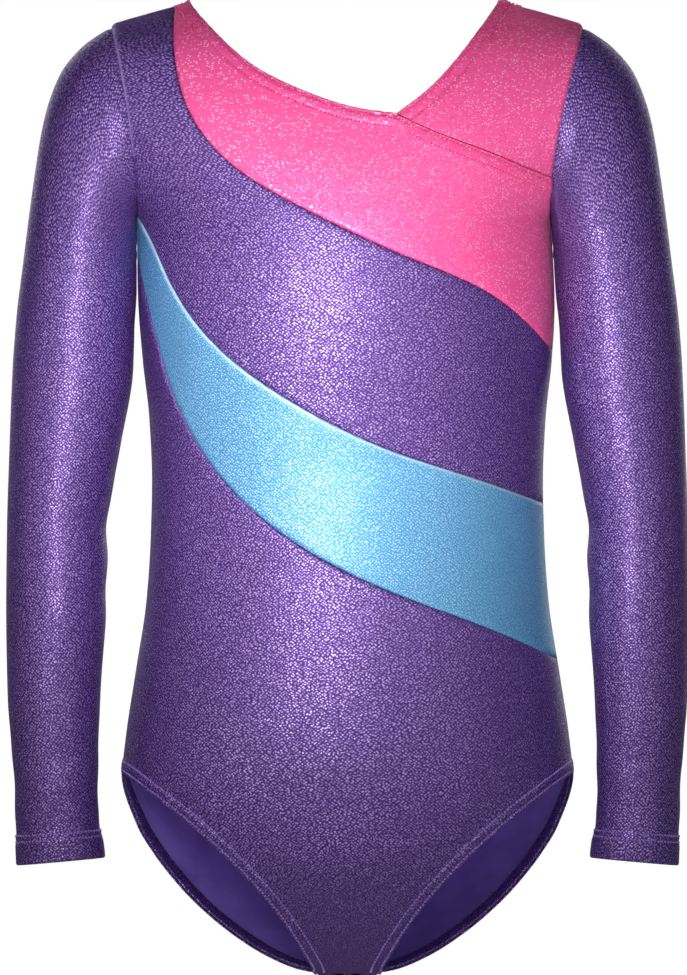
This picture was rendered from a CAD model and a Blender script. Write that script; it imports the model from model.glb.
"""A child's long-sleeved gymnastics leotard of foil-dot stretch cloth, as worn by an invisible form.

Shapes are worked out in millimetres from the same stations and seam lines as the CAD parts, and turned into
metres when a mesh is made. +Z is up, the wearer faces -Y and +X is the wearer's left.
"""

from math import cos, pi, radians, sin

import bpy
import numpy as np
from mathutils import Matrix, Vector
from mathutils.geometry import delaunay_2d_cdt
from mathutils.kdtree import KDTree


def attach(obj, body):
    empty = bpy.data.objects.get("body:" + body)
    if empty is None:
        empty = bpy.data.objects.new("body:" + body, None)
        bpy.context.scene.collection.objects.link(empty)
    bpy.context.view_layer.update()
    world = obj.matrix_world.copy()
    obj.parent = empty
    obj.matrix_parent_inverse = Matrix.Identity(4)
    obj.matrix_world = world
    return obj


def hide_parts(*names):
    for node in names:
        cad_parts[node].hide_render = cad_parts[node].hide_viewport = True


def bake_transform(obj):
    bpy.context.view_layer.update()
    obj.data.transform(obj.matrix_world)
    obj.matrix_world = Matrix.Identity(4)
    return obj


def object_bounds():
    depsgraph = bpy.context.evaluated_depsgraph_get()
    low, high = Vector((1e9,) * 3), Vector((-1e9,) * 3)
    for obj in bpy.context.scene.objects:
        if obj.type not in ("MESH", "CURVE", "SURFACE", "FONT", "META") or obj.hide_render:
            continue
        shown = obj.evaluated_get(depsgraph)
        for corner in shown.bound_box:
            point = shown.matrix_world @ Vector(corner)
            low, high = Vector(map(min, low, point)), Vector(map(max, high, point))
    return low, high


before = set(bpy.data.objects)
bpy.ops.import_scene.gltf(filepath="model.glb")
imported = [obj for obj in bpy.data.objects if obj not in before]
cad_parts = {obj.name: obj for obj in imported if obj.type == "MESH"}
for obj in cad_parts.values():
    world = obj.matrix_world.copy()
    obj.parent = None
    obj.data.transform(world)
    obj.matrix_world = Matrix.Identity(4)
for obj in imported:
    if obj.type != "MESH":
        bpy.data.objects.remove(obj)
cad_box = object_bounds()

MM = 0.001
FRONT, BACK = -1, 1          # which half of the trunk, by the sign of y

# -------- driving dimensions
CLOTH = 0.9                  # thickness of the stretch cloth
SEAM_WIDTH = 6.0             # serged seam allowance
HEM_WIDTH = 10.0
CUFF_HEM = 17.0
NECK_ROWS = (1.8, 8.0)       # distances of the stitch rows from the neck edge
LEG_ROWS = (1.6, 6.8)
CROSSOVER_ROWS = (2.0, 7.5)
CUFF_ROWS = (12.5, 16.0)
ROW_WIDTH = 0.9
STITCH_PITCH = 2.3
STITCH = (1.8, 1.25, 0.8)    # length, width and height of one stitch
ROLL = 1.3                   # radius that a turned edge rolls over
DOT_PITCH = 1.4              # spacing of the foil dots
MESH_PITCH = 4.0             # spacing of a panel's points away from its seams
ROW_RISE = 0.866             # rows of those points, as a share of the pitch, for even triangles
LINE_PITCH = 2.0             # spacing of points along a seam

ARMHOLE_TOP = (136.5, -14.0)
ARMHOLE_BOTTOM = (121.5, -124.0)
ARMHOLE_BOW = 2.5            # how far its line bends towards the middle
ARMHOLE_DEPTH = 40.0
LINING_TOP = -522.0
LINING_BACK = -559.0         # where the lining ends behind
SIDE_SEAM_END = -445.0
SIDE_SERGING_END = -436.0    # its allowance ends above the leg hem
CROTCH_HALF = 19.3
LABEL = (22.0, 18.0)
LABEL_Z = -370.0

# Height, half-width, depth in front of the side seams, depth behind them
TRUNK = np.array([
    (0, 93, 7, 7), (-6, 115, 17, 17), (-14, 136.5, 28, 28), (-25, 136, 39, 39), (-40, 134, 49, 49),
    (-65, 130, 61, 61), (-95, 126, 71, 71), (-112, 123, 75, 75), (-124, 121.5, 77.5, 77.5),
    (-150, 121.3, 80, 77), (-172, 120.8, 80.5, 76), (-206, 118.2, 79, 73), (-241, 114.3, 75.5, 68.5),
    (-276, 112.8, 73, 66.5), (-310, 113.6, 73, 69), (-345, 116, 75, 76), (-388, 122.5, 78, 86),
    (-423, 127.8, 79, 91), (-446, 130, 78, 92), (-475, 124.5, 73, 89), (-492, 116.5, 67.5, 84),
    (-510, 103.5, 58, 75), (-527, 86, 46, 61), (-544, 61.5, 31, 42), (-553, 43.5, 21, 28),
    (-558, 30, 14, 18), (-560, 20, 9, 12),
], float)
TOP_Z, BOTTOM_Z = TRUNK[0, 0], TRUNK[-1, 0]
TOP_CAP, LOW_CAP, CROWN = 7.0, 12.0, 1.0     # how the form closes over its two ends

# Inner edge x, z, outer edge x, z, half-depth and forward lean, from the armhole to the cuff
SLEEVE = np.array([
    (121.5, -124, 136.5, -14, 40, 0), (122.8, -128, 154, -26.5, 40.5, 0),
    (122.9, -132, 166, -41, 39, 0), (122.9, -138, 175.5, -68, 37, 0),
    (123.0, -145, 181.5, -104, 35, 0), (123.0, -154, 187.5, -150, 34, 0),
    (123.0, -180, 191.2, -180, 33.5, 0), (123.6, -210, 193.5, -210, 33, -1),
    (131.4, -258, 195.4, -258, 30.5, -3), (138.8, -305, 196.8, -305, 28.5, -5),
    (139.4, -350, 197.2, -350, 27.5, -8), (142.6, -400, 196.3, -400, 25, -10),
    (144.0, -445, 192.8, -445, 22, -12), (143.0, -496, 190.6, -496, 21, -14),
], float)

# Seams and edges of the front, x and z as seen from the front
NECK_RIGHT_SIDE = [(-100, 14), (-90, -1), (-76, -17.3), (-55, -36), (-27.5, -50.3), (0, -60),
                   (27.5, -64.8)]
NECK_LEFT_SIDE = [(27.5, -64.8), (36.5, -58.4), (47.5, -49.4), (62.9, -32.6), (76.6, -14.5), (86, -1),
                  (95, 14)]
NECK_BACK = [(95, 14), (86, -1), (77, -36), (52, -76), (-2, -98), (-56, -76), (-81, -36),
             (-90, -1), (-100, 14)]
PINK_SEAM = [(-99, 12), (-100.5, -19), (-98, -43), (-91, -64), (-69, -92), (-24.6, -119.6),
             (35, -147.4), (92.8, -175), (118.2, -200), (132, -218)]
CROSSOVER = [(24, -63), (54, -76.3), (102.6, -93.6), (140, -109)]
BLUE_UPPER = [(-130, -112), (-117.6, -130), (-103.8, -159.5), (-82.9, -191.3), (-34.4, -229.5),
              (21, -257.2), (76.6, -275.7), (111.8, -288.4), (130, -296)]
BLUE_LOWER = [(-124, -128), (-121.8, -145), (-114.7, -177.4), (-99.7, -229.5), (-74.3, -272.8),
              (-20.5, -317.9), (35, -343.9), (90.5, -364.7), (118.2, -377.4), (135, -386)]
LEG_FRONT = [(140, -438), (130.5, -444.5), (97.5, -469), (62.8, -500.5), (38, -530), (19, -561)]
LEG_BACK = [(-8, -438), (0, -446), (20, -478), (25, -508), (17, -538), (5, -555), (-6, -561.5)]


# -------- curves and forms
def unit(v):
    """Vectors scaled to length 1."""
    return v / np.maximum(np.linalg.norm(v, axis=-1, keepdims=True), 1e-9)


def ease(x):
    """0 below 0, 1 above 1, smooth between."""
    x = np.clip(x, 0, 1)
    return x * x * (3 - 2 * x)


def bell(x, width):
    """1 at 0, falling smoothly to 0 on both sides."""
    return np.exp(-(x / width)**2)


def between(stations, at):
    """Values between stations, on cubics that never overshoot them. Column 0 is the position."""
    stations = stations[np.argsort(stations[:, 0])]
    place, value = stations[:, 0], stations[:, 1:]
    chord = np.diff(value, axis=0) / np.diff(place)[:, None]
    before, after = chord[:-1], chord[1:]
    total = np.where(before + after == 0, 1, before + after)
    slope = np.vstack([chord[:1], np.where(before * after > 0, 2 * before * after / total, 0), chord[-1:]])
    low = np.clip(np.searchsorted(place, at, side="right") - 1, 0, len(place) - 2)
    step = (place[low + 1] - place[low])[..., None]
    t = (at - place[low])[..., None] / step
    return ((2 * t**3 - 3 * t**2 + 1) * value[low] + (t**3 - 2 * t**2 + t) * step * slope[low]
            + (3 * t**2 - 2 * t**3) * value[low + 1] + (t**3 - t**2) * step * slope[low + 1])


def spline(points, pitch=LINE_PITCH):
    """Points about a pitch apart on the natural cubic spline through points."""
    p = np.array(points, float)
    knot = np.concatenate([[0], np.cumsum(np.linalg.norm(np.diff(p, axis=0), axis=1))])
    step, count = np.diff(knot), len(p)
    system, target = np.eye(count), np.zeros_like(p)
    for i in range(1, count - 1):
        system[i, i - 1:i + 2] = step[i - 1], 2 * (step[i - 1] + step[i]), step[i]
        target[i] = 6 * ((p[i + 1] - p[i]) / step[i] - (p[i] - p[i - 1]) / step[i - 1])
    bend = np.linalg.solve(system, target)
    at = np.linspace(0, knot[-1], max(2, round(knot[-1] / pitch) + 1))
    i = np.clip(np.searchsorted(knot, at, side="right") - 1, 0, count - 2)
    h, a, b = step[i][:, None], (knot[i + 1] - at)[:, None], (at - knot[i])[:, None]
    return ((bend[i] * a**3 + bend[i + 1] * b**3) / (6 * h)
            + (p[i] / h - bend[i] * h / 6) * a + (p[i + 1] / h - bend[i + 1] * h / 6) * b)


def armhole_x(z):
    """The armhole line seen from the front, bowed a little towards the middle."""
    (top_x, top_z), (low_x, low_z) = ARMHOLE_TOP, ARMHOLE_BOTTOM
    u = np.clip((z - low_z) / (top_z - low_z), 0, 1)
    return low_x + (top_x - low_x) * u - ARMHOLE_BOW * np.sin(pi * u)


def armhole_depth(z):
    """Half the armhole's width from front to back, at a height."""
    top, low = ARMHOLE_TOP[1], ARMHOLE_BOTTOM[1]
    return ARMHOLE_DEPTH * np.sqrt(np.maximum(0, 1 - ((2 * z - top - low) / (top - low))**2))


def trunk(z):
    """Half-width, front depth and back depth at a height."""
    width, front, back = np.moveaxis(between(TRUNK, z), -1, 0)
    arm = (z > ARMHOLE_BOTTOM[1]) & (z < ARMHOLE_TOP[1])
    return np.where(arm, armhole_x(z) / np.sqrt(1 - (armhole_depth(z) / front)**2), width), front, back


def trunk_point(t, h, half):
    """The trunk's outer face: t runs 0 to pi from the wearer's right to left, h is the height.

    Beyond the form's two ends, h carries on over caps that close it."""
    z = np.clip(h, BOTTOM_Z, TOP_Z)
    width, front, back = trunk(z)
    over = np.clip((h - TOP_Z) / TOP_CAP, 0, 1) * pi / 2
    under = np.clip((BOTTOM_Z - h) / LOW_CAP, 0, 1) * pi / 2
    depth = (front if half == FRONT else back) * np.cos(over) * np.cos(under)
    return np.stack([-width * np.cos(t), half * depth * np.sin(t),
                     z + CROWN * (np.sin(over) - np.sin(under))], axis=-1)


def trunk_frame(t, h, half):
    """Point, outward normal, and how the point moves with t and with h."""
    dt, dh = 1e-3, 0.05
    along = (trunk_point(t + dt, h, half) - trunk_point(t - dt, h, half)) / (2 * dt)
    up = (trunk_point(t, h + dh, half) - trunk_point(t, h - dh, half)) / (2 * dh)
    normal = -half * np.cross(along, up)
    flat = np.linalg.norm(normal, axis=-1) < 1e-3
    normal[flat] = (0, 0, 1)
    return trunk_point(t, h, half), unit(normal), along, up


def trunk_place(x, z):
    """t and h of a point of the front or back, given as seen from the front."""
    return np.arccos(np.clip(-x / trunk(np.clip(z, BOTTOM_Z, TOP_Z))[0], -1, 1)), z


# The trunk laid flat: its girth at one scale, and the length of its surface up from the lower end
GIRTH = 95.0
STEP = 0.25
_heights = np.arange(BOTTOM_Z - LOW_CAP, TOP_Z + TOP_CAP + STEP, STEP)
_form = between(TRUNK, np.clip(_heights, BOTTOM_Z, TOP_Z))
_cap = np.where(_heights > TOP_Z, 1.2, np.where(_heights < BOTTOM_Z, 1.0, 0))
_slopes = np.abs(np.gradient(_form, _heights, axis=0)).mean(axis=1)
_lengths = np.concatenate([[0], np.cumsum(np.hypot(STEP, STEP * np.maximum(_slopes, _cap)))[:-1]])


def flatten(t, h):
    """Trunk coordinates laid flat, in millimetres."""
    return np.stack([GIRTH * t, np.interp(h, _heights, _lengths)], axis=-1)


def unflatten(flat):
    """The trunk coordinates of flat points."""
    return flat[:, 0] / GIRTH, np.interp(flat[:, 1], _lengths, _heights)


# -------- edges of the trunk, as (t, h) lines
def line(*parts):
    """One (t, h) line out of several."""
    return np.vstack([np.column_stack(np.broadcast_arrays(*part)) for part in parts])


def other_side(path):
    """A (t, h) line on the other side of the wearer."""
    return np.column_stack([pi - path[:, 0], path[:, 1]])


def front_line(points):
    """A seam drawn as seen from the front, clipped to the trunk."""
    x, z = spline(points).T
    width = trunk(np.clip(z, BOTTOM_Z, TOP_Z))[0]
    keep = (np.abs(x) < width + 2) & (z < TOP_Z)
    return line(trunk_place(x[keep], z[keep]))


def shoulder_x(path):
    """Where a neck line passes over the shoulder."""
    rising = path[np.argsort(path[:, 1])]
    return np.interp(0, rising[:, 1], rising[:, 0])


def neck_edge(half):
    """The neck edge from the wearer's right to left, over the top of each shoulder."""
    right, left = spline(NECK_RIGHT_SIDE), spline(NECK_LEFT_SIDE)
    path = np.vstack([right, left[1:]]) if half == FRONT else spline(NECK_BACK)[::-1]
    path = path[path[:, 1] < -0.8]
    cap = np.linspace(TOP_CAP, 0, 5)
    return line(trunk_place(np.full(5, shoulder_x(right)), cap), trunk_place(*path.T),
                trunk_place(np.full(5, shoulder_x(left)), cap[::-1]))


def leg_edge(half):
    """The left leg edge from the side seam down to the crotch."""
    corner = np.arccos(-CROTCH_HALF / TRUNK[-1, 1])
    cap = np.linspace(BOTTOM_Z, BOTTOM_Z - LOW_CAP, 6)
    if half == FRONT:
        x, z = spline(LEG_FRONT).T
        keep = (x < trunk(np.maximum(z, BOTTOM_Z))[0] - 1.5) & (z > BOTTOM_Z + 0.5)
        body = trunk_place(x[keep], z[keep])
    else:
        y, z = spline(LEG_BACK).T
        keep = (y > 1.5) & (z > -550)
        t = pi - np.arcsin(y[keep] / trunk(z[keep])[2])
        ease_in = np.linspace(-551.5, BOTTOM_Z + 0.7, 6)
        t_low = np.interp(ease_in, (BOTTOM_Z, z[keep][-1]), (corner, t[-1]))
        body = np.concatenate([t, t_low]), np.concatenate([z[keep], ease_in])
    return line((np.array([pi]), np.array([SIDE_SEAM_END])), body, (np.full(6, corner), cap))


RING = 48      # steps along half an armhole or sleeve


def armhole_edge(half):
    """The left armhole from its top to the armpit, on the same points as the sleeve's first ring."""
    turn = np.linspace(0, pi, RING + 1)
    top, low = ARMHOLE_TOP[1], ARMHOLE_BOTTOM[1]
    z = (top + low) / 2 + (top - low) / 2 * np.cos(turn)
    depth = trunk(z)[1 if half == FRONT else 2]
    return line((pi - np.arcsin(np.clip(armhole_depth(z) / depth, 0, 1)), z))


def outline(half):
    """The closed edge of the front or the back, and its named stretches."""
    neck = neck_edge(half)
    shoulder_h = np.concatenate([[TOP_CAP], np.linspace(0, ARMHOLE_TOP[1], 20)[:-1]])
    shoulder = line((np.full(20, pi), shoulder_h))
    armhole = armhole_edge(half)
    steps = round((ARMHOLE_BOTTOM[1] - SIDE_SEAM_END) / 3)
    side = line((np.full(steps - 1, pi), np.linspace(ARMHOLE_BOTTOM[1], SIDE_SEAM_END, steps + 1)[1:-1]))
    leg = leg_edge(half)
    crotch = line((np.linspace(leg[-1, 0], pi - leg[-1, 0], 13)[1:-1], np.full(11, BOTTOM_Z - LOW_CAP)))
    left = [shoulder, armhole, side, leg]
    right = [other_side(part)[::-1] for part in left[::-1]]
    return np.vstack([neck, *left, crotch, *right]), {
        "neck": neck, "armhole": armhole, "leg": leg,
        "side": np.vstack([armhole[-1:], side, leg[:1]]),
        "shoulder": np.vstack([shoulder, armhole[:1]])}


# -------- meshes
def close_to(points, others, reach):
    """True for each point that has another within reach."""
    tree = KDTree(len(others))
    for i, (x, y) in enumerate(others):
        tree.insert((x, y, 0), i)
    tree.balance()
    return np.array([tree.find((x, y, 0))[2] < reach for x, y in points], bool)


def inside(points, polygon):
    """True for each point that lies in a closed polygon."""
    x, y = points[:, 0], points[:, 1]
    result = np.zeros(len(points), bool)
    for (x0, y0), (x1, y1) in zip(polygon, np.roll(polygon, -1, axis=0)):
        crosses = (y0 > y) != (y1 > y)
        if y0 != y1:
            result ^= crosses & (x < (x1 - x0) * (y - y0) / (y1 - y0) + x0)
    return result


def beside(path, distances):
    """Rows of points beside a flat line, to be triangulated with it."""
    along = unit(np.gradient(path, axis=0))
    side = np.column_stack([-along[:, 1], along[:, 0]])
    return np.vstack([path + side * d for d in distances])


def triangulate(edge, seams, edge_rows, seam_rows):
    """Flat triangles that fill an outline and keep the seams as edges."""
    closed = [flatten(*edge.T)]
    open_lines = [flatten(*s.T) for s in seams]
    lines = closed + open_lines
    links, first = [], 0
    for i, path in enumerate(lines):
        last = first + len(path) - 1
        links += [(k, k + 1) for k in range(first, last)] + ([(last, first)] if i == 0 else [])
        first = last + 1
    fixed = np.vstack(lines)
    rows = np.vstack([beside(closed[0], [s * d for d in edge_rows for s in (1, -1)])]
                     + [beside(p, [s * d for d in seam_rows for s in (1, -1)]) for p in open_lines])
    rows = rows[inside(rows, closed[0])]
    rows = rows[~close_to(rows, fixed, 0.5)]
    low, high = closed[0].min(axis=0), closed[0].max(axis=0)
    v = np.arange(low[1], high[1], MESH_PITCH * ROW_RISE)
    u = np.arange(low[0], high[0], MESH_PITCH)
    grid = np.array([(a + (k % 2) * MESH_PITCH / 2, b) for k, b in enumerate(v) for a in u])
    grid = grid[inside(grid, closed[0])]
    grid = grid[~close_to(grid, np.vstack([fixed, rows]), MESH_PITCH * 0.6)]
    flat = np.vstack([fixed, rows, grid])
    verts, _, faces, *_ = delaunay_2d_cdt([Vector(p) for p in flat], links, [], 0, 1e-4, False)
    verts = np.array([tuple(v) for v in verts])
    faces = np.array([f for f in faces if len(f) == 3])
    return verts, faces[inside(verts[faces].mean(axis=1), closed[0])]


def distance(points, lines):
    """Distance from each point to the nearest of some 3-D lines."""
    samples = np.vstack([resample(path, 0.6) for path in lines])
    tree = KDTree(len(samples))
    for i, co in enumerate(samples):
        tree.insert(co, i)
    tree.balance()
    return np.array([tree.find(co)[2] for co in points])


def resample(path, pitch):
    """Evenly spaced points along a 3-D polyline; other columns are carried along."""
    lengths = np.concatenate([[0], np.cumsum(np.linalg.norm(np.diff(path[:, :3], axis=0), axis=1))])
    at = np.linspace(0, lengths[-1], max(2, round(lengths[-1] / pitch) + 1))
    return np.column_stack([np.interp(at, lengths, column) for column in path.T])


def lean(points):
    """Points moved so that the left armhole lies a little nearer the middle than the right one."""
    points = np.array(points, float)
    x, z = points[:, 0], points[:, 2]
    share = bell(z + 105, 60) * ease((x - 70) / 40) * (1 - ease((x - 132) / 45))
    points[:, 0] -= 4.5 * share
    return points


def make(name, points, faces, materials, uv=None):
    """A smooth mesh object from points in millimetres."""
    mesh = bpy.data.meshes.new(name)
    mesh.from_pydata((lean(points) * MM).tolist(), [], [tuple(map(int, f)) for f in faces])
    mesh.validate()
    mesh.update()
    for material in materials:
        mesh.materials.append(material)
    mesh.polygons.foreach_set("use_smooth", np.ones(len(mesh.polygons), bool))
    if uv is not None:
        corner = np.zeros(len(mesh.loops), int)
        mesh.loops.foreach_get("vertex_index", corner)
        layer = mesh.uv_layers.new(name="cloth")
        layer.data.foreach_set("uv", (np.asarray(uv) * MM)[corner].ravel().astype(np.float32))
    obj = bpy.data.objects.new(name, mesh)
    bpy.context.collection.objects.link(obj)
    return obj


def mark(obj, name, values):
    """A value for each point that the materials read by name."""
    layer = obj.data.attributes.new(name, "FLOAT", "POINT")
    layer.data.foreach_set("value", np.asarray(values, np.float32).ravel())


def thicken(obj, thickness=CLOTH):
    """Give cloth its thickness inwards, with the second material on its inner face."""
    modifier = obj.modifiers.new("thickness", "SOLIDIFY")
    modifier.thickness = thickness * MM
    modifier.offset = -1
    modifier.material_offset = 1
    modifier.material_offset_rim = 0
    return obj


def tube_faces(rows, around, closed=True, start=0):
    """Quads of a grid of points, rows by around."""
    a, b = np.meshgrid(np.arange(rows - 1), np.arange(around if closed else around - 1), indexing="ij")
    here, right = a * around + b, a * around + (b + 1) % around
    return np.stack([here, right, right + around, here + around], axis=-1).reshape(-1, 4) + start


# -------- materials
def colour(red, green, blue):
    """A colour given as it looks on a screen, 0 to 255."""
    part = np.array([red, green, blue]) / 255
    return (*np.where(part < 0.04045, part / 12.92, ((part + 0.055) / 1.055)**2.4), 1.0)


class Shader:
    """Short calls for building a material's nodes."""

    def __init__(self, name):
        self.material = bpy.data.materials.new(name)
        self.material.use_nodes = True
        self.tree = self.material.node_tree
        self.bsdf = self.tree.nodes["Principled BSDF"]

    def node(self, kind, inputs=None, **settings):
        made = self.tree.nodes.new(kind)
        for key, value in settings.items():
            setattr(made, key, value)
        for key, value in (inputs or {}).items():
            self.set(made.inputs[key], value)
        return made

    def set(self, socket, value):
        if isinstance(value, bpy.types.NodeSocket):
            self.tree.links.new(value, socket)
        else:
            socket.default_value = value

    def shade(self, **values):
        for key, value in values.items():
            self.set(self.bsdf.inputs[key.replace("_", " ")], value)

    def math(self, operation, *values):
        return self.node("ShaderNodeMath", dict(enumerate(values)), operation=operation).outputs[0]

    def ramp(self, value, low, high, to_low=0.0, to_high=1.0):
        made = self.node("ShaderNodeMapRange", {"Value": value, "From Min": low, "From Max": high,
                                                "To Min": to_low, "To Max": to_high},
                         interpolation_type="SMOOTHSTEP")
        return made.outputs["Result"]

    def mix(self, factor, one, other):
        """A blend of two colours. The node's colour sockets come after those for other kinds of value."""
        made = self.node("ShaderNodeMix", {"Factor": factor}, data_type="RGBA")
        self.set(made.inputs[6], one)
        self.set(made.inputs[7], other)
        return made.outputs[2]

    def vector(self, operation, one, other):
        second = "Scale" if operation == "SCALE" else 1
        return self.node("ShaderNodeVectorMath", {0: one, second: other}, operation=operation).outputs[0]

    def coordinates(self):
        """Cloth coordinates, in metres, that lie along the cloth."""
        return self.node("ShaderNodeUVMap", uv_map="cloth").outputs["UV"]

    def marked(self, name):
        return self.node("ShaderNodeAttribute", attribute_name=name).outputs["Fac"]

    def noise(self, where, size, detail=2.0):
        return self.node("ShaderNodeTexNoise", {"Vector": where, "Scale": 1 / size, "Detail": detail})

    def cells(self, where, size, spread=1.0):
        """Round cells: distance from each centre, and a random vector for each."""
        made = self.node("ShaderNodeTexVoronoi", {"Vector": where, "Scale": 1 / size, "Randomness": spread},
                         voronoi_dimensions="2D")
        return made.outputs["Distance"], made.outputs["Color"]

    def tilt(self, random, amount, height, bump):
        """Each cell leans its own way, on top of a raised relief."""
        geometry = self.node("ShaderNodeNewGeometry").outputs["Normal"]
        scaled = self.vector("SCALE", self.vector("SUBTRACT", random, (0.5, 0.5, 0.5)), amount)
        added = self.vector("ADD", geometry, scaled)
        normal = self.node("ShaderNodeVectorMath", {0: added}, operation="NORMALIZE")
        made = self.node("ShaderNodeBump", {"Height": height, "Distance": bump * MM,
                                            "Normal": normal.outputs[0]})
        return made.outputs["Normal"]


def foil_cloth(name, gap, dot, glint):
    """Stretch knit printed with small foil dots that each catch the light their own way."""
    s = Shader(name)
    where = s.coordinates()
    stretch = s.noise(where, 0.009)
    where = s.vector("ADD", where, s.vector("SCALE", stretch.outputs["Color"], 0.003))
    where = s.node("ShaderNodeMapping", {"Vector": where, "Rotation": (0, 0, radians(42))}).outputs[0]
    away, random = s.cells(where, DOT_PITCH * MM, 0.55)
    dots = s.ramp(away, 0.14, 0.46, 1.0, 0.0)
    parts = s.node("ShaderNodeSeparateColor", {0: random})
    lucky = s.ramp(parts.outputs[2], 0.2, 1.0, 0.4, 1.0)
    patch = s.ramp(s.noise(s.coordinates(), 0.007, 3.0).outputs["Fac"], 0.3, 0.72, 0.65, 1.0)
    bright = s.math("MULTIPLY", s.math("MULTIPLY", dots, lucky), patch)
    ground = s.mix(dots, gap, dot)
    foil = s.mix(bright, ground, glint)
    lined = s.mix(s.marked("rim"), foil, glint)
    s.shade(Base_Color=lined,
            Metallic=s.ramp(dots, 0.0, 1.0, 0.3, 0.95),
            Roughness=s.ramp(dots, 0.0, 1.0, 0.5, 0.36),
            Normal=s.tilt(random, 0.16, dots, 0.2))
    return s.material


def glitter_cloth(name, base, deep, glint):
    """Satin stretch knit with sparse glitter."""
    s = Shader(name)
    where = s.coordinates()
    away, random = s.cells(where, 0.00095, 1.0)
    parts = s.node("ShaderNodeSeparateColor", {0: random})
    patch = s.ramp(s.noise(where, 0.012, 3.0).outputs["Fac"], 0.3, 0.7, 0.88, 0.7)
    chosen = s.math("GREATER_THAN", parts.outputs[0], patch)
    speck = s.math("MULTIPLY", s.ramp(away, 0.22, 0.5, 1.0, 0.0), chosen)
    mottle = s.noise(where, 0.0016, 3.0).outputs["Fac"]
    ground = s.mix(s.ramp(mottle, 0.3, 0.72, 0.5, 1.0), deep, base)
    groove = s.vector("MULTIPLY", ground, (0.82, 0.36, 0.6))
    ground = s.mix(s.marked("groove"), ground, groove)
    s.shade(Base_Color=s.mix(speck, ground, glint),
            Metallic=s.ramp(speck, 0.0, 1.0, 0.2, 0.3),
            Roughness=s.ramp(speck, 0.0, 1.0, 0.5, 0.3),
            Normal=s.tilt(random, 0.22, mottle, 0.07),
            Sheen_Weight=0.12, Sheen_Roughness=0.35)
    return s.material


def knit(name, base, shade, rough=0.85):
    """Matte inner face of a knit."""
    s = Shader(name)
    where = s.node("ShaderNodeTexCoord").outputs["Object"]
    cloud = s.noise(where, 0.02, 3.0).outputs["Fac"]
    bump = s.node("ShaderNodeBump", {"Height": s.noise(where, 0.0007).outputs["Fac"],
                                     "Distance": 0.05 * MM})
    s.shade(Base_Color=s.mix(s.ramp(cloud, 0.3, 0.7), shade, base), Roughness=rough,
            Normal=bump.outputs["Normal"], Sheen_Weight=0.3, Sheen_Roughness=0.5)
    return s.material


def thread(name, base, shade, rough=0.55):
    """Twisted polyester thread."""
    s = Shader(name)
    where = s.node("ShaderNodeTexCoord").outputs["Object"]
    twist = s.noise(where, 0.0006, 1.0).outputs["Fac"]
    bump = s.node("ShaderNodeBump", {"Height": twist, "Distance": 0.06 * MM})
    s.shade(Base_Color=s.mix(s.ramp(twist, 0.3, 0.7), shade, base), Roughness=rough,
            Normal=bump.outputs["Normal"], Sheen_Weight=0.3)
    return s.material


PURPLE = foil_cloth("purple foil cloth", colour(62, 28, 106), colour(110, 68, 166), colour(218, 186, 250))
BLUE = foil_cloth("blue foil cloth", colour(74, 146, 196), colour(120, 182, 222), colour(200, 232, 252))
PINK = glitter_cloth("pink glitter cloth", colour(232, 82, 148), colour(226, 68, 132),
                     colour(255, 176, 214))
PURPLE_IN = knit("purple cloth, inner face", colour(136, 96, 208), colour(118, 80, 190))
BLUE_IN = knit("blue cloth, inner face", colour(126, 176, 208), colour(108, 160, 196))
PINK_IN = knit("pink cloth, inner face", colour(232, 120, 172), colour(216, 100, 156))
LINING = knit("lining knit", colour(92, 66, 142), colour(76, 52, 124), 0.9)
SATIN = knit("label satin", colour(242, 240, 236), colour(228, 226, 222), 0.4)
ELASTIC = knit("covered elastic", colour(92, 66, 120), colour(72, 50, 104), 0.8)
PURPLE_THREAD = thread("purple thread", colour(156, 118, 214), colour(104, 70, 160))
PINK_THREAD = thread("pink thread", colour(212, 44, 126), colour(186, 28, 102))
SERGING = thread("serged edge thread", colour(98, 70, 150), colour(58, 38, 96), 0.7)


# -------- trunk
def hem_relief(d, rows):
    """How far a turned hem stands off the cloth, by distance from its edge."""
    roll = np.where(d < ROLL, np.sqrt(np.maximum(0, ROLL**2 - (ROLL - np.minimum(d, ROLL))**2)) - ROLL, 0)
    band = 0.8 * (1 - ease((d - rows[1] - 0.6) / 1.3))
    pinch = sum(0.75 * bell(d - row - ROW_WIDTH / 2, 0.8) for row in rows)
    return roll + band - pinch


def seam_relief(d):
    """Cloth dips into a seam and swells beside it."""
    return -0.6 * bell(d, 0.9) + 0.28 * bell(d - 3.2, 1.8)


def fold(points, start, end, width, amount):
    """A soft fold along a straight line between two points of the cloth."""
    start, end = np.array(start, float), np.array(end, float)
    span = end - start
    t = np.clip((points - start) @ span / (span @ span), -0.3, 1.3)
    away = np.linalg.norm(points - start - t[:, None] * span, axis=1)
    return amount * bell(away, width) * ease((t + 0.3) / 0.6) * ease((1.3 - t) / 0.6)


# Soft pulls of the worn cloth on the wearer's left: start, end, width, and height out (+) or in (-)
FOLDS = (
    ((118, -52, -132), (88, -76, -158), 7, 0.5), ((117, -56, -146), (92, -76, -176), 6, -0.45),
    ((112, -30, -262), (86, -58, -268), 7, 0.4), ((111, -32, -282), (80, -62, -290), 8, -0.45),
    ((112, -28, -300), (88, -54, -306), 7, 0.35), ((96, -52, -452), (58, -70, -476), 8, 0.45),
    ((108, -44, -436), (78, -66, -448), 9, -0.4), ((110, 30, -258), (60, 60, -268), 9, 0.5),
    ((110, 30, -280), (50, 64, -292), 10, -0.5), ((112, 34, -306), (70, 62, -314), 8, 0.45),
    ((116, 40, -140), (84, 66, -176), 9, 0.5), ((96, 66, -470), (50, 88, -440), 11, 0.45),
)


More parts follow.
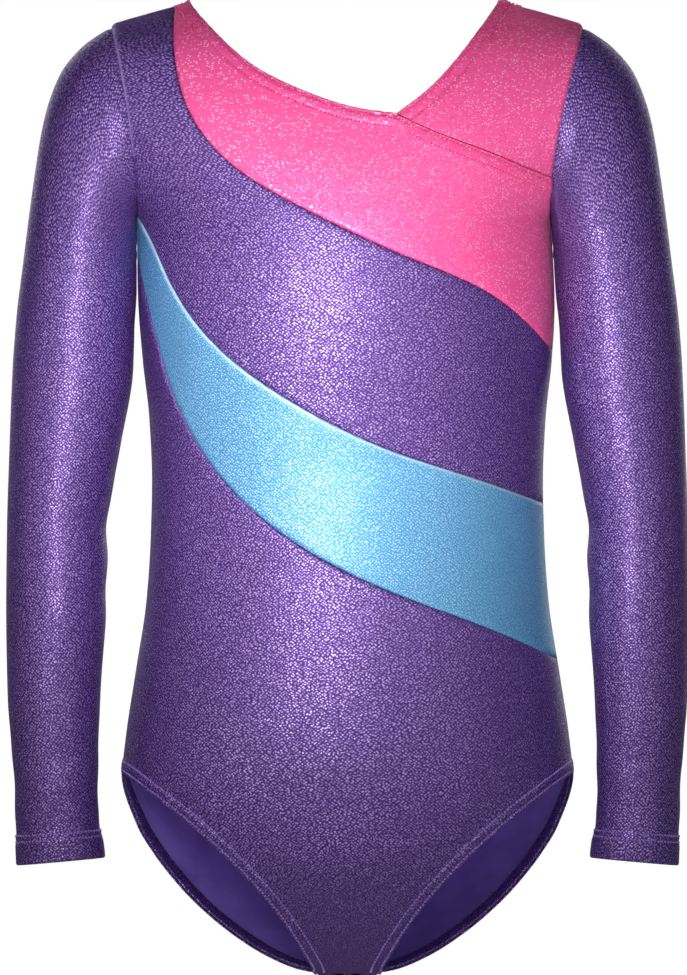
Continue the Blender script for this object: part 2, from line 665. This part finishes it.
def body_folds(points):
    """The folds from the armpits, across the waist and up from the legs, on both sides."""
    total = np.zeros(len(points))
    for side in (-1, 1):
        for start, end, width, amount in FOLDS:
            total += fold(points, (side * start[0], *start[1:]), (side * end[0], *end[1:]), width, amount)
    return total


def above(seam, points):
    """True for each front point on the upper side of a seam, as seen from the front."""
    path = spline(seam)
    corners = [(260, path[-1, 1]), (260, 260), (-260, 260), (-260, path[0, 1])]
    return inside(points[:, [0, 2]], np.vstack([path, corners]))


def in_space(path, half):
    """A (t, h) line as points in space."""
    return trunk_point(*path.T, half)


EDGES = {half: outline(half) for half in (FRONT, BACK)}
SEAM_ROWS = (0.9, 2.0, 3.6)
HEM_ROWS = (0.6, 1.3, 2.1, 2.9, 4.2, 5.8, 6.6, 7.3, 8.1, 8.9, 9.8)


def edge_lines(name):
    """An opening's edge on both halves and, where it has two, on both sides, as 3-D lines."""
    found = []
    for half in (FRONT, BACK):
        path = EDGES[half][1][name]
        found.append(in_space(path, half))
        if name != "neck":
            found.append(in_space(other_side(path), half))
    return found


def relief(points, seams):
    """How far each point of a panel moves along its normal."""
    neck, leg = distance(points, edge_lines("neck")), distance(points, edge_lines("leg"))
    armhole = distance(points, edge_lines("armhole"))
    total = hem_relief(neck, NECK_ROWS) + hem_relief(leg, LEG_ROWS) + seam_relief(armhole)
    free = ease((np.minimum(neck, leg) - 6) / 10)
    if seams:
        total += seam_relief(distance(points, seams)) * ease((np.minimum(neck, leg) + 2) / 6)
    return total + body_folds(points) * free


def row_grooves(d, rows):
    """Where the stitch rows press into the cloth."""
    return sum(bell(d - row - ROW_WIDTH / 2, 0.7) for row in rows)


def panel(name, flat, faces, half, seams, materials, shift=None):
    """One cloth panel of the trunk, from some of the triangles of its half."""
    used, faces = np.unique(faces, return_inverse=True)
    flat = flat[used]
    points, normals, _, _ = trunk_frame(*unflatten(flat), half)
    out = relief(points, seams)
    if shift is not None:
        out += shift(points)
    grooves = row_grooves(distance(points, edge_lines("neck")), NECK_ROWS)
    grooves += 0.6 * bell(distance(points, seams), 0.7) if seams else 0
    if name == "pink_main_cloth":
        edge = in_space(within(front_line(CROSSOVER), FRONT), FRONT)
        grooves += row_grooves(distance(points, [edge]), CROSSOVER_ROWS)
    rims = 0.55 * bell(distance(points, edge_lines("armhole")) - 0.8, 0.8) * (points[:, 2] > -90)
    if name == "blue_sweep_cloth":
        rims = 0.8 * bell(distance(points, [in_space(front_line(BLUE_UPPER), FRONT)]) - 0.9, 0.8)
    faces = faces.reshape(-1, 3)
    points = points + normals * out[:, None]
    if half == BACK:
        faces = faces[:, ::-1]
    obj = thicken(make(name, points, faces, materials, flat))
    mark(obj, "groove", grooves)
    mark(obj, "rim", rims)
    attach(obj, "trunk")
    return obj


def crossover_over(points):
    """The main panel's turned edge lies on top of the shoulder panel."""
    d = distance(points, [in_space(front_line(CROSSOVER), FRONT)])
    return hem_relief(d, CROSSOVER_ROWS) - seam_relief(d) + 0.35 * bell(d, 7)


def crossover_under(points):
    """The shoulder panel tucks in under it."""
    d = distance(points, [in_space(front_line(CROSSOVER), FRONT)])
    return -seam_relief(d) - 0.25 * bell(d, 2.5)


def make_trunk():
    """The six cloth panels."""
    seams = {name: front_line(points) for name, points in (
        ("pink", PINK_SEAM), ("crossover", CROSSOVER), ("upper", BLUE_UPPER), ("lower", BLUE_LOWER))}
    side = EDGES[FRONT][1]["side"]
    sides = [in_space(side, FRONT), in_space(other_side(side), FRONT),
             *edge_lines("shoulder")]
    lines = [in_space(path, FRONT) for path in seams.values()] + sides
    flat, faces = triangulate(EDGES[FRONT][0], list(seams.values()), HEM_ROWS, SEAM_ROWS)
    middle = trunk_point(*unflatten(flat[faces].mean(axis=1)), FRONT)
    pink, crossover = above(PINK_SEAM, middle), above(CROSSOVER, middle)
    crossover &= middle[:, 0] > CROSSOVER[0][0]
    upper, lower = above(BLUE_UPPER, middle), above(BLUE_LOWER, middle)
    made = {}
    for name, chosen, materials, slot, shift in (
            ("pink_main", pink & ~crossover, [PINK, PINK_IN], "pink_cloth", crossover_over),
            ("pink_shoulder", pink & crossover, [PINK, PINK_IN], "pink_cloth", crossover_under),
            ("purple_chest", ~pink & upper, [PURPLE, PURPLE_IN], "purple_cloth", None),
            ("blue_sweep", ~pink & ~upper & lower, [BLUE, BLUE_IN], "blue_cloth", None),
            ("purple_hip", ~pink & ~upper & ~lower, [PURPLE, PURPLE_IN], "purple_cloth", None)):
        made[name] = panel(f"{name}_cloth", flat, faces[chosen], FRONT, lines, materials, shift)
        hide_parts(f"{name}_panel")
    flat, faces = triangulate(EDGES[BACK][0], [], HEM_ROWS, SEAM_ROWS)
    made["back"] = panel("back_cloth", flat, faces, BACK, sides, [PURPLE, PURPLE_IN])
    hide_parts("back_panel")
    return made


# -------- sleeves
_middles = (SLEEVE[:, 0:2] + SLEEVE[:, 2:4]) / 2
SLEEVE_AT = np.concatenate([[0], np.cumsum(np.linalg.norm(np.diff(_middles, axis=0), axis=1))])
SLEEVE_TABLE = np.column_stack([SLEEVE_AT, SLEEVE])
SLEEVE_LENGTH = SLEEVE_AT[-1]
SLEEVE_ROWS = 190


def sleeve_point(turn, down):
    """The left sleeve's outer face: turn goes round it from its outer edge, down runs to the cuff."""
    inner_x, inner_z, outer_x, outer_z, depth, forward = np.moveaxis(between(SLEEVE_TABLE, down), -1, 0)
    low = ease((down - SLEEVE_LENGTH + 60) / 60)
    drop = 2.2 * np.cos(turn) * low
    inner_x = inner_x - 2.4 * ease((down - SLEEVE_LENGTH + 26) / 26)
    inner_x = inner_x - 1.3 * ease((inner_z + 190) / 25) * ease((-125 - inner_z) / 6)
    swing = np.cos(turn)
    bow = ARMHOLE_BOW * np.sin(turn) ** 2 * (1 - ease(down / 34))
    tuck = 1.0 * (1 - ease(down / 2.2))
    return np.stack([(inner_x + outer_x) / 2 + (outer_x - inner_x) / 2 * swing - bow - tuck,
                     forward + depth * np.sin(turn),
                     (inner_z + outer_z) / 2 + (outer_z - inner_z) / 2 * swing - drop], axis=-1)


def sleeve_frame(turn, down):
    """Point and outward normal."""
    along = sleeve_point(turn + 1e-3, down) - sleeve_point(turn - 1e-3, down)
    down_by = sleeve_point(turn, down + 0.05) - sleeve_point(turn, down - 0.05)
    return sleeve_point(turn, down), unit(np.cross(down_by, along))


def sleeve_relief(turn, down, points):
    """Seam at the armhole, turned cuff, and the soft folds of a worn sleeve."""
    cuff = SLEEVE_LENGTH - down
    total = seam_relief(down) + 0.5 * bell(down - 9, 7) * ease(down / 6)
    total += hem_relief(cuff, CUFF_ROWS) * ease((30 - cuff) / 8)
    inner = ease(-np.cos(turn) - 0.1)
    wrist = ease((cuff - 18) / 10) * bell(cuff - 42, 30)
    total += wrist * 0.8 * np.sin(cuff / 5.4 + 2.6 * np.cos(turn)) * (0.4 + 0.6 * np.sin(turn)**2)
    elbow = bell(down - 255, 34)
    total += elbow * 0.75 * np.sin(down / 6.2 + 3.0 * np.cos(turn - 0.4)) * inner
    pit = bell(down - 62, 22) * inner
    total += pit * 0.25 * np.sin(down / 4.6 + 2.0 * turn)
    seam = np.abs(np.angle(np.exp(1j * (turn - pi))))
    return total - 0.5 * bell(seam * 30, 1.1) * ease(down / 8)


def sleeve_at(turn, down, up=0.0):
    """Points on the finished sleeve, raised off it by up."""
    points, normals = sleeve_frame(turn, down)
    return points + normals * (sleeve_relief(turn, down, points) + up)[..., None]


def mirrored(points, side):
    """Points of the left sleeve, on the side asked for."""
    return points * np.array([side, 1, 1])


def blend_sleeve(obj):
    """Cloth near the armhole stays with the trunk and turns smoothly with the arm."""
    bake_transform(obj)


def make_sleeve(side, name):
    """The cloth tube of one sleeve."""
    turn = np.linspace(0, 2 * pi, 2 * RING + 1)[:-1]
    edge_rows = np.array([0, 0.8, 1.8, 3.2])
    cuff_rows = SLEEVE_LENGTH - np.array([3.0, 1.9, 1.1, 0.5, 0.15, 0])
    down = np.concatenate([edge_rows, np.linspace(5, SLEEVE_LENGTH - 4.4, SLEEVE_ROWS), cuff_rows])
    grid_turn, grid_down = np.meshgrid(turn, down)
    points = mirrored(sleeve_at(grid_turn, grid_down).reshape(-1, 3), side)
    faces = tube_faces(len(down), len(turn))
    faces = faces[:, ::-1] if side > 0 else faces
    uv_turn = np.where(grid_turn > pi, grid_turn - 2 * pi, grid_turn)
    uv = np.stack([uv_turn * sleeve_radius(grid_down) * side, -grid_down], axis=-1).reshape(-1, 2)
    obj = make(f"{name}_sleeve_cloth", points, faces, [PURPLE, PURPLE_IN], uv)
    fix_wrap(obj)
    thicken(obj)
    blend_sleeve(obj)
    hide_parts(f"sleeve_cap_{name}", f"sleeve_{name}")
    return obj


def sleeve_radius(down):
    """Mean radius of the sleeve."""
    inner_x, inner_z, outer_x, outer_z, depth, _ = np.moveaxis(between(SLEEVE_TABLE, down), -1, 0)
    return (np.hypot(outer_x - inner_x, outer_z - inner_z) / 2 + depth) / 2


def fix_wrap(obj):
    """Where the cloth coordinates jump across the underarm seam, let a face run on past it."""
    layer = obj.data.uv_layers["cloth"]
    for face in obj.data.polygons:
        uvs = [layer.data[i].uv.copy() for i in face.loop_indices]
        us = [uv[0] for uv in uvs]
        if max(us) - min(us) > 0.1:
            for i, uv in zip(face.loop_indices, uvs):
                if uv[0] < 0:
                    round_it = 2 * pi * sleeve_radius(np.array([-uv[1] / MM]))[0] * MM
                    layer.data[i].uv[0] = uv[0] + round_it


# -------- trims
def rail(path, half, into):
    """An edge line with the surface beside it: gives points at a distance into the cloth."""
    t, h = path.T
    points, normals, along_t, along_h = trunk_frame(t, h, half)
    course = unit(np.gradient(points, axis=0))
    side = into * np.cross(normals, course)
    tt, th, hh = (along_t**2).sum(-1), (along_t * along_h).sum(-1), (along_h**2).sum(-1)
    st, sh = (side * along_t).sum(-1), (side * along_h).sum(-1)
    det = np.maximum(tt * hh - th**2, 1e-6)
    dt, dh = (st * hh - sh * th) / det, (sh * tt - st * th) / det

    def at(distance_in, up):
        moved, normal, _, _ = trunk_frame(t + dt * distance_in, h + dh * distance_in, half)
        return moved + normal * np.reshape(up, (-1, 1)), normal
    return at


def fine(path, half, pitch):
    """A (t, h) line with points evenly spaced in space."""
    points = in_space(path, half)
    return resample(np.column_stack([points, path]), pitch)[:, 3:]


def stitches(name, paths, material):
    """A row of separate stitches along 3-D lines given with their normals."""
    length, width, height = STITCH
    angles = np.arange(6) * pi / 3
    rings = [(-0.5, 0.0, -0.5), (-0.42, 0.55, -0.15), (-0.15, 1.0, 0.35), (0.15, 1.0, 0.35),
             (0.42, 0.55, -0.15), (0.5, 0.0, -0.5)]
    shape = np.array([(x * length, w * np.cos(a) * width / 2, (w * np.sin(a) / 2 + lift) * height)
                      for x, w, lift in rings for a in angles])
    quads = tube_faces(len(rings), 6)
    points, faces = [], []
    for path in paths:
        spots = resample(path, STITCH_PITCH)
        course = unit(np.gradient(spots[:, :3], axis=0))
        normal = unit(spots[:, 3:6])
        across = unit(np.cross(normal, course))
        for spot, c, a, n in zip(spots[:, :3], course, across, normal):
            faces.append(quads + len(points) * len(shape))
            points.append(spot + shape[:, :1] * c + shape[:, 1:2] * a + shape[:, 2:] * n)
    return make(name, np.vstack(points), np.vstack(faces), [material], None)


def stitch_rows(paths, rows, up=0.1):
    """Path and normals of each stitch row beside edges of the trunk; paths are (path, half, into)."""
    found = []
    for path, half, into in paths:
        for d in rows:
            middle = d + ROW_WIDTH / 2
            height = hem_relief(np.array([middle]), rows)[0]
            points, normals = rail(fine(path, half, 1.2), half, into)(middle, height + up)
            found.append(np.column_stack([points, normals]))
    return found


def band(name, grids, materials, slot, closed=True):
    """Strips swept along lines, as one piece: each grid is (points along, section, 3)."""
    points, faces, uv, start = [], [], [], 0
    for grid in grids:
        count, around = grid.shape[:2]
        along = np.linalg.norm(np.diff(grid.mean(axis=1), axis=0), axis=1)
        across = np.linalg.norm(np.diff(grid.mean(axis=0), axis=0), axis=1)
        u, v = (np.concatenate([[0], np.cumsum(x)]) for x in (along, across))
        uv.append(np.stack(np.meshgrid(u, v, indexing="ij"), axis=-1).reshape(-1, 2))
        points.append(grid.reshape(-1, 3))
        faces += [tuple(f) for f in tube_faces(count, around, closed, start)]
        if closed:
            faces += [tuple(range(start, start + around))[::-1],
                      tuple(range(start + (count - 1) * around, start + count * around))]
        start += count * around
    return make(name, np.vstack(points), faces, materials, np.vstack(uv))


def ripple(count):
    """The ripple of overlock thread along a cut edge, -1 to 1, four points to a wave."""
    return np.sin(np.arange(count) * pi / 2)


def strip_section(near, far, low, high):
    """Section of a flat strip: distance in from the edge, height off the outer face."""
    middle = (low + high) / 2
    return [(near, low), ((near + far) / 2, low), (far, low), (far + 0.25, middle), (far, high),
            ((near + far) / 2, high), (near, high), (near - 0.25, middle)]


def fold_section(width, low, high):
    """Section of a hem that turns in over an elastic, from the edge of the cloth."""
    return [(0.1, -CLOTH), (0.0, low), (0.15, (low + high) / 2), (0.7, high), (width / 2, high),
            (width, high), (width + 0.25, (low + high) / 2), (width, low), (width / 2, low), (0.9, low),
            (0.6, -CLOTH - 0.4), (0.4, -CLOTH)]


# Upper and lower height of what lies inside the cloth, off its outer face
ELASTIC_LAYER = (-0.95, -1.62)
HEM_LAYER = (-1.7, -2.45)
ALLOWANCE_LAYER = (-1.0, -1.75)


def swept(path, half, into, section, rippled=(), pitch=0.8):
    """A grid along a trunk edge; the section's listed points ripple like overlock thread."""
    dense = fine(path, half, pitch)
    place = rail(dense, half, into)
    wave = ripple(len(dense))
    columns = []
    for i, (d, up) in enumerate(section):
        amount = 1.0 if i in rippled else 0.0
        columns.append(place(d + 0.3 * wave * amount, up - 0.16 * (wave + 1) * amount)[0])
    return np.stack(columns, axis=1)


def edge_pieces(name, paths, elastic, hems):
    """The elastic round an opening and the hem folded over it.

    paths are (path, half, into); hems are (piece, which path, first, last, material, slot)."""
    strip, turned = strip_section(0.7, 7.0, *ELASTIC_LAYER), fold_section(HEM_WIDTH, *HEM_LAYER)
    obj = band(f"{name}_elastic_band", [swept(*path, strip) for path in paths], [ELASTIC], "elastic")
    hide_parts(elastic)
    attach(obj, "trunk")
    for piece, stretches, material, slot in hems:
        grids = [swept(*stretch, turned, (5, 6, 7)) for stretch in stretches]
        obj = band(f"{piece}_fold", grids, [material], slot)
        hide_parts(piece)
        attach(obj, "trunk")


def make_neck():
    """Stitch rows, elastic and turned hems of the neck."""
    front, back = (EDGES[half][1]["neck"] for half in (FRONT, BACK))
    low = int(np.argmin(front[:, 1]))
    edge_pieces("neck", [(front, FRONT, -1), (back, BACK, 1)], "neck_elastic", [
        ("neck_hem_front", [(front[:low + 1], FRONT, -1)], PINK, "pink_cloth"),
        ("neck_hem_shoulder", [(front[low:], FRONT, -1)], PINK, "pink_cloth"),
        ("neck_hem_back", [(back, BACK, 1)], PURPLE, "purple_cloth")])
    for path, half, into, material, replaced in (
            (front, FRONT, -1, PINK_THREAD, "neck_stitching"), (back, BACK, 1, PURPLE_THREAD, None)):
        which = "front" if half == FRONT else "back"
        obj = stitches(f"neck_stitches_{which}", stitch_rows([(path, half, into)], NECK_ROWS), material)
        if replaced:
            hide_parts(replaced)
        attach(obj, "trunk")


def make_legs():
    """Stitch rows, elastics and turned hems of the leg openings."""
    for side, name in ((1, "left"), (-1, "right")):
        paths = []
        for half in (FRONT, BACK):
            path = EDGES[half][1]["leg"]
            paths.append((path if side > 0 else other_side(path), half, half * side))
        edge_pieces(f"leg_{name}", paths, f"leg_elastic_{name}",
                    [(f"leg_hem_{name}", paths, PURPLE, "purple_cloth")])
        obj = stitches(f"leg_stitches_{name}", stitch_rows(paths, LEG_ROWS), PURPLE_THREAD)
        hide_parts(f"leg_stitching_{name}")
        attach(obj, "trunk")


def within(path, half):
    """The part of a (t, h) line that lies on the cloth."""
    return path[inside(flatten(*path.T), flatten(*EDGES[half][0].T))]


def make_crossover():
    """Two stitch rows along the yoke's turned edge."""
    path = within(front_line(CROSSOVER), FRONT)[6:-1]
    obj = stitches("crossover_stitches", stitch_rows([(path, FRONT, -1)], CROSSOVER_ROWS, 0.2),
                   PINK_THREAD)
    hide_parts("crossover_stitching")
    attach(obj, "trunk")


def allowance(name, node, stretches, near, far):
    """A serged seam allowance: a flat strip wrapped in overlock thread, inside the cloth."""
    section = strip_section(near, far, *ALLOWANCE_LAYER)
    grids = [swept(*stretch, section, (2, 3, 4, 6, 7, 0), 0.7) for stretch in stretches]
    obj = band(name, grids, [SERGING], "seam_overlock")
    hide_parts(node)
    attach(obj, "trunk")


def make_allowances():
    """Every serged seam of the trunk."""
    half_width = SEAM_WIDTH / 2
    for side, name in ((1, "left"), (-1, "right")):
        for seam in ("armhole", "side", "shoulder"):
            stretches = []
            for half in (FRONT, BACK):
                path = EDGES[half][1][seam]
                path = path[1:-1] if seam == "armhole" else path
                if seam == "side":
                    h = path[:, 1]
                    path = path[(h < ARMHOLE_BOTTOM[1] - SEAM_WIDTH) & (h > SIDE_SERGING_END)]
                if seam == "shoulder":
                    path = path[path[:, 1] < -1.5]
                stretches.append((path if side > 0 else other_side(path), half, half * side))
            far = SEAM_WIDTH if seam == "armhole" else half_width
            allowance(f"{seam}_serging_{name}", f"{seam}_seam_{name}", stretches, 0.3, far)
    for name, points in (("pink", PINK_SEAM), ("blue_upper", BLUE_UPPER), ("blue_lower", BLUE_LOWER)):
        path = within(front_line(points), FRONT)[4:-3]
        allowance(f"{name}_serging", f"{name}_seam", [(path, FRONT, 1)], -half_width, half_width)


def make_lining():
    """The knit lining inside the crotch, front and back as one patch."""
    sheets = []
    for half in (FRONT, BACK):
        leg = EDGES[half][1]["leg"][::-1]
        top = LINING_TOP if half == FRONT else LINING_BACK
        heights = np.linspace(top, BOTTOM_Z - LOW_CAP, 22)
        left = np.interp(heights, leg[:, 1], leg[:, 0])
        width = trunk(np.maximum(heights, BOTTOM_Z))[0]
        left = np.maximum(pi / 2 + 0.05, left - 6.5 / np.maximum(width, 22))
        share = np.linspace(0, 1, 26)
        t = pi - left[:, None] + (2 * left - pi)[:, None] * share
        h = np.broadcast_to(heights[:, None], t.shape)
        points, normals, _, _ = trunk_frame(t.ravel(), h.ravel().copy(), half)
        dip = -1.05 - 0.12 * (np.sin(t * 40) * np.sin(h / 2.6)).ravel() ** 2
        grid = (points + normals * dip[:, None]).reshape(*t.shape, 3)
        sheets.append(grid if half == FRONT else grid[::-1])
    grid = np.vstack([sheets[0], sheets[1][1:]])
    obj = thicken(band("crotch_lining_patch", [grid], [LINING, LINING], "lining_cloth", closed=False), 0.8)
    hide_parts("crotch_lining")
    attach(obj, "trunk")
    return obj


def make_label():
    """A blank satin label caught in the left side seam, slightly curled."""
    width, height = LABEL
    share, heights = np.linspace(0, 1, 14), np.linspace(LABEL_Z, LABEL_Z + height, 12)
    t = pi - 0.015 - share[None, :] * width / trunk(np.array([LABEL_Z]))[1]
    t, h = np.broadcast_to(t, (12, 14)), np.broadcast_to(heights[:, None], (12, 14))
    points, normals, _, _ = trunk_frame(t.ravel(), h.ravel(), FRONT)
    curl = 2.0 + 1.6 * share**2 + 0.25 * np.sin(share * 9)
    grid = (points - normals * np.broadcast_to(curl, (12, 14)).reshape(-1, 1)).reshape(12, 14, 3)
    obj = thicken(band("care_label_satin", [grid], [SATIN, SATIN], "label_satin", closed=False), 0.35)
    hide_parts("care_label")
    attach(obj, "trunk")


CUFF_TURN = np.linspace(0, 2 * pi, 161)
CUFF_SECTION = [(0.1, -CLOTH), (0.0, -1.1), (0.2, -1.5), (0.8, -1.75), (CUFF_HEM / 2, -1.75),
                (CUFF_HEM, -1.75), (CUFF_HEM + 0.3, -1.4), (CUFF_HEM, -1.0), (CUFF_HEM / 2, -0.98),
                (0.7, -0.98)]     # distance from the cuff's edge, height off the outer face
UNDERARM_START = 14              # how far down the sleeve the underarm allowance begins
UNDERARM_RADIUS = 33             # turns its width into an angle round the sleeve


def make_cuff_hem(side, name):
    """The hem turned up inside a cuff."""
    wave = ripple(len(CUFF_TURN))
    grid = np.stack([sleeve_at(CUFF_TURN, SLEEVE_LENGTH - d - 0.3 * wave * (d > CUFF_HEM - 1), up)
                     for d, up in CUFF_SECTION], axis=1)
    obj = band(f"cuff_hem_fold_{name}", [mirrored(grid, side)], [PURPLE], "purple_cloth")
    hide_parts(f"cuff_hem_{name}")
    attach(obj, f"{name}_sleeve")


def make_cuff_stitches(side, name):
    """Two stitch rows round a cuff."""
    rows = []
    for d in CUFF_ROWS:
        down = np.full(len(CUFF_TURN), SLEEVE_LENGTH - d - ROW_WIDTH / 2)
        normals = sleeve_frame(CUFF_TURN, down)[1]
        rows.append(np.column_stack([mirrored(sleeve_at(CUFF_TURN, down, 0.1), side),
                                     mirrored(normals, side)]))
    obj = stitches(f"cuff_stitches_{name}", rows, PURPLE_THREAD)
    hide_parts(f"cuff_stitching_{name}")
    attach(obj, f"{name}_sleeve")


def make_underarm_seam(side, name):
    """The serged allowance along the inside of a sleeve."""
    down = np.arange(UNDERARM_START, SLEEVE_LENGTH - CUFF_HEM - 1, 0.7)
    wave = ripple(len(down))
    columns = []
    for d, up in strip_section(-SEAM_WIDTH / 2, SEAM_WIDTH / 2, *ALLOWANCE_LAYER):
        reach = (d + 0.3 * wave * np.sign(d)) / UNDERARM_RADIUS
        columns.append(sleeve_at(pi + reach, down, up - 0.08 * (wave + 1)))
    obj = band(f"underarm_serging_{name}", [mirrored(np.stack(columns, axis=1), side)], [SERGING],
               "seam_overlock")
    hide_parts(f"underarm_seam_{name}")
    blend_sleeve(obj)


# -------- stage, lights and camera
FLOOR_DROP, FLOOR_RADIUS, FLOOR_SIDES = 0.06, 2.6, 96     # below the crotch; sizes in metres
ROOM_RADIUS = 60


def stage_material(name, strength, shade):
    """A grey that also gives off light."""
    s = Shader(name)
    s.shade(Base_Color=(shade, shade, shade, 1), Roughness=0.9, Emission_Color=(1, 1, 1, 1),
            Emission_Strength=strength)
    return s.material


def make_stage():
    """A pale floor under the garment, in a plain white room that only the camera sees."""
    floor_z = cad_box[0].z - FLOOR_DROP
    ring = [(FLOOR_RADIUS * cos(a), FLOOR_RADIUS * sin(a), floor_z)
            for a in np.linspace(0, 2 * pi, FLOOR_SIDES + 1)[:-1]]
    floor = make("floor", np.array(ring) / MM, [tuple(range(FLOOR_SIDES))],
                 [stage_material("pale floor", 0.75, 0.3)])
    bpy.ops.mesh.primitive_uv_sphere_add(segments=48, ring_count=24, radius=ROOM_RADIUS)
    room = bpy.context.object
    room.name = "room"
    room.data.materials.append(stage_material("white room", 1.0, 0.0))
    room.visible_diffuse = False
    room.visible_glossy = False
    room.visible_shadow = False
    floor.visible_glossy = False


def light(name, azimuth, elevation, distance_out, width, height, power, aim=-0.28, spread=180):
    """A soft box that faces the garment at a height; azimuth 0 is the camera's side."""
    centre = Vector((0, 0, aim))
    a, e = radians(azimuth), radians(elevation)
    data = bpy.data.lights.new(name, "AREA")
    data.shape = "RECTANGLE"
    data.size, data.size_y = width, height
    data.energy = power
    data.spread = radians(spread)
    lamp = bpy.data.objects.new(name, data)
    bpy.context.collection.objects.link(lamp)
    out = Vector((sin(a) * cos(e), -cos(a) * cos(e), sin(e)))
    lamp.location = centre + out * distance_out
    lamp.rotation_euler = out.to_track_quat("Z", "Y").to_euler()


def make_lights():
    light("key", -9, 3, 0.9, 0.3, 0.3, 0.78, aim=-0.2, spread=42)
    light("front", -4, 4, 1.8, 0.6, 0.6, 1.0)
    light("left", -38, 0, 1.8, 0.4, 0.9, 2.4, aim=-0.4)
    light("right", 30, 0, 1.9, 0.4, 0.9, 2.7, aim=-0.34)
    light("low", -4, -34, 1.9, 0.9, 0.3, 2.9)
    light("top", -14, 56, 1.8, 0.8, 0.4, 2.2)
    light("back left", -155, 20, 2.0, 0.8, 1.2, 5)
    light("back right", 155, 15, 2.0, 0.8, 1.2, 5)
    world = bpy.data.worlds.new("room light")
    bpy.context.scene.world = world
    world.use_nodes = True
    world.node_tree.nodes["Background"].inputs["Color"].default_value = (0.9, 0.92, 1.0, 1)
    world.node_tree.nodes["Background"].inputs["Strength"].default_value = 0.08


def make_camera():
    """Straight on from the front, from so far that the view has almost no perspective."""
    away, view_height = 15.0, 0.5635
    centre = Vector((-0.0023, 0, -0.280))
    data = bpy.data.cameras.new("camera")
    data.sensor_width = 36
    data.lens = data.sensor_width * away / view_height
    data.clip_start, data.clip_end = 0.1, 200
    camera = bpy.data.objects.new("camera", data)
    bpy.context.collection.objects.link(camera)
    camera.location = centre + Vector((0, -away, 0))
    camera.rotation_euler = (pi / 2, 0, 0)
    bpy.context.scene.camera = camera
    bpy.context.scene.view_settings.view_transform = "Standard"


# -------- the garment
panels = make_trunk()
sleeves = {name: make_sleeve(side, name) for side, name in ((1, "left"), (-1, "right"))}
make_neck()
make_legs()
make_crossover()
make_allowances()
lining = make_lining()
make_label()
for side, name in ((1, "left"), (-1, "right")):
    make_cuff_hem(side, name)
    make_cuff_stitches(side, name)
    make_underarm_seam(side, name)
make_stage()
make_lights()
make_camera()
